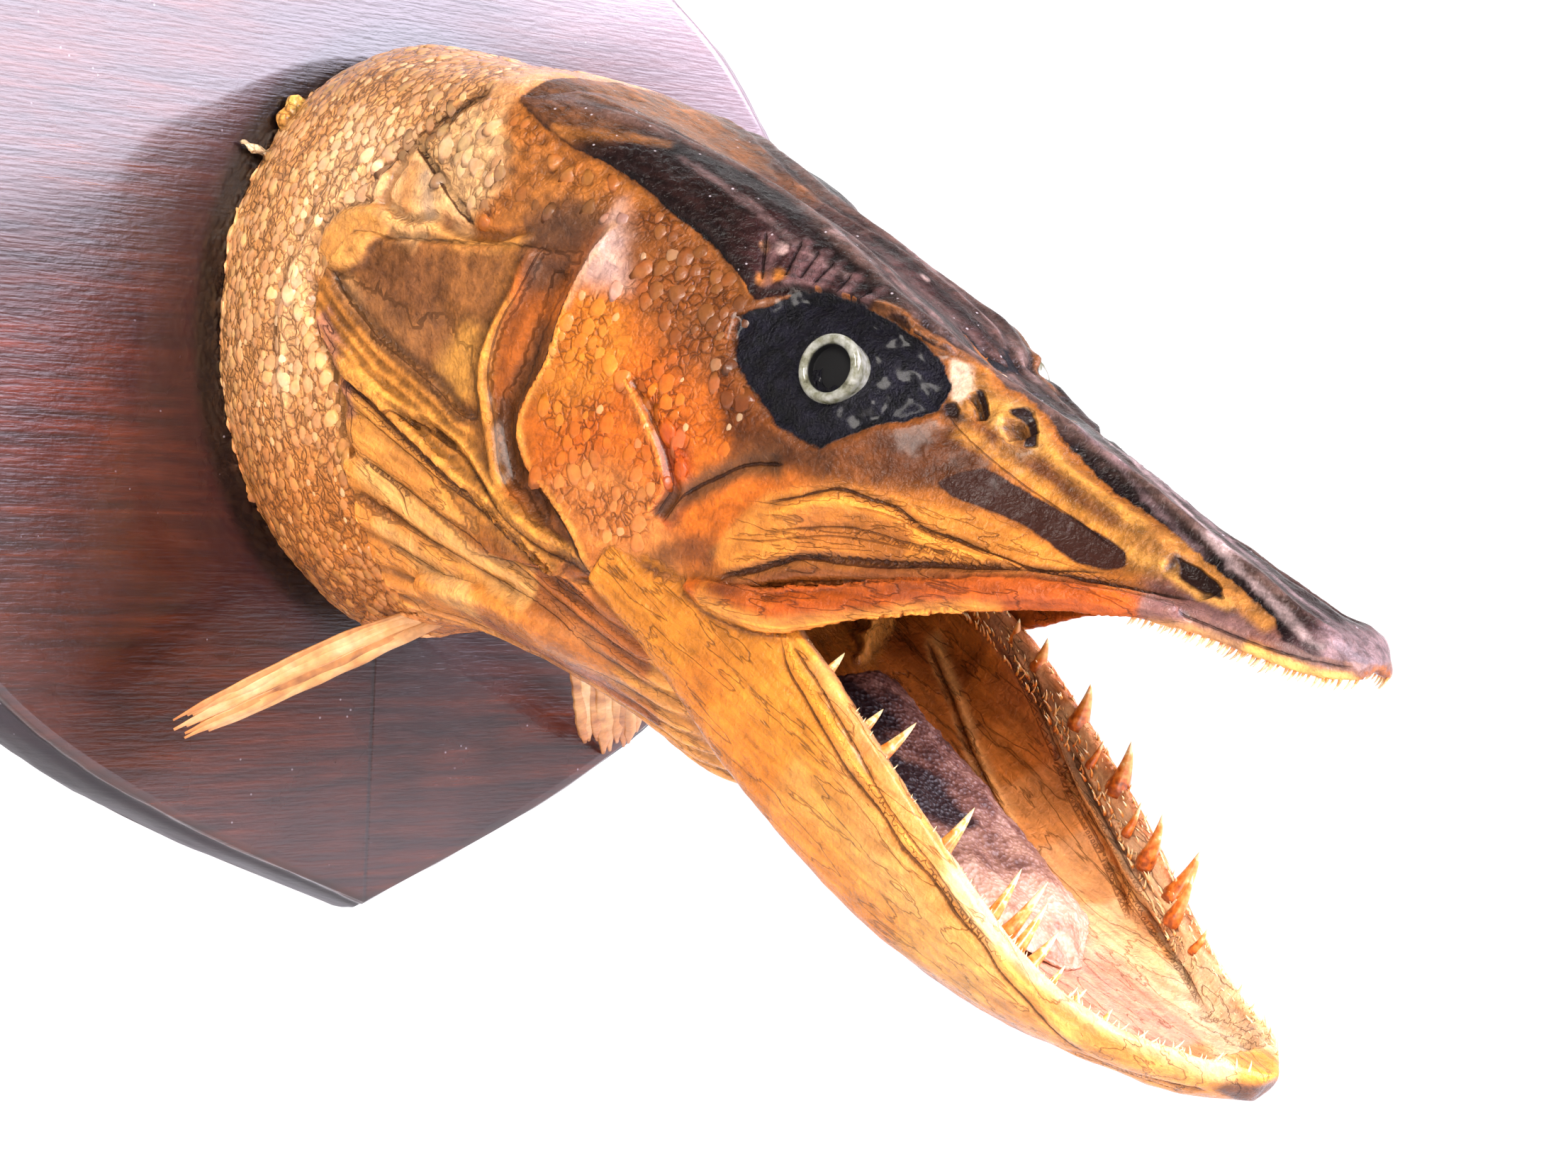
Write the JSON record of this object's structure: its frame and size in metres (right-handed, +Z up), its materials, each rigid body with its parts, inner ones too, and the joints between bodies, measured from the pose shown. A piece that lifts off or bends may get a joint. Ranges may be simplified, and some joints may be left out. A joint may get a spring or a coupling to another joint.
{
  "type": "mounted pike head trophy",
  "caption": "Dried and varnished pike head with open toothed jaws, mounted on a shield-shaped wooden wall board.",
  "frame": {"origin": "on the flat back face of the board, straight behind the middle of the neck", "axes": "+Z up, +Y out of the back face into the wall, -Y the way the fish looks, +X to the right facing the wall"},
  "size_m": [0.281, 0.2838, 0.292],
  "materials": {
    "board_wood": "dark red-brown stain under worn gloss varnish, straight grain",
    "scaled_skin": "dried scaled fish skin, ochre, satin varnish",
    "head_skin": "dried head skin over bone, dark brown roof and orange cheeks, gloss varnish",
    "gill_skin": "dried gill cover and folds, amber brown, satin varnish",
    "jaw_skin": "dried jaw skin and bone, amber gold, gloss varnish",
    "mouth_lining": "dried tongue and mouth floor, pale pink with dark purple patches, matt",
    "eye_glass": "glass eye with pale green-grey ring and black pupil",
    "fin_skin": "dried folded fin rays, tan, satin"
  },
  "bodies": {
    "root": {"board": "board_wood", "neck": "scaled_skin", "head": "head_skin", "upper_jaw": "head_skin", "throat": "scaled_skin", "gill_cover_right": "gill_skin", "gill_cover_left": "gill_skin", "gill_membrane_right": "gill_skin", "gill_membrane_left": "gill_skin", "maxilla_right": "jaw_skin", "maxilla_left": "jaw_skin", "lower_jaw": "jaw_skin", "tongue": "mouth_lining", "eye_right": "eye_glass", "eye_left": "eye_glass", "pectoral_fin_right": "fin_skin", "pectoral_fin_left": "fin_skin"}
  },
  "joints": []
}
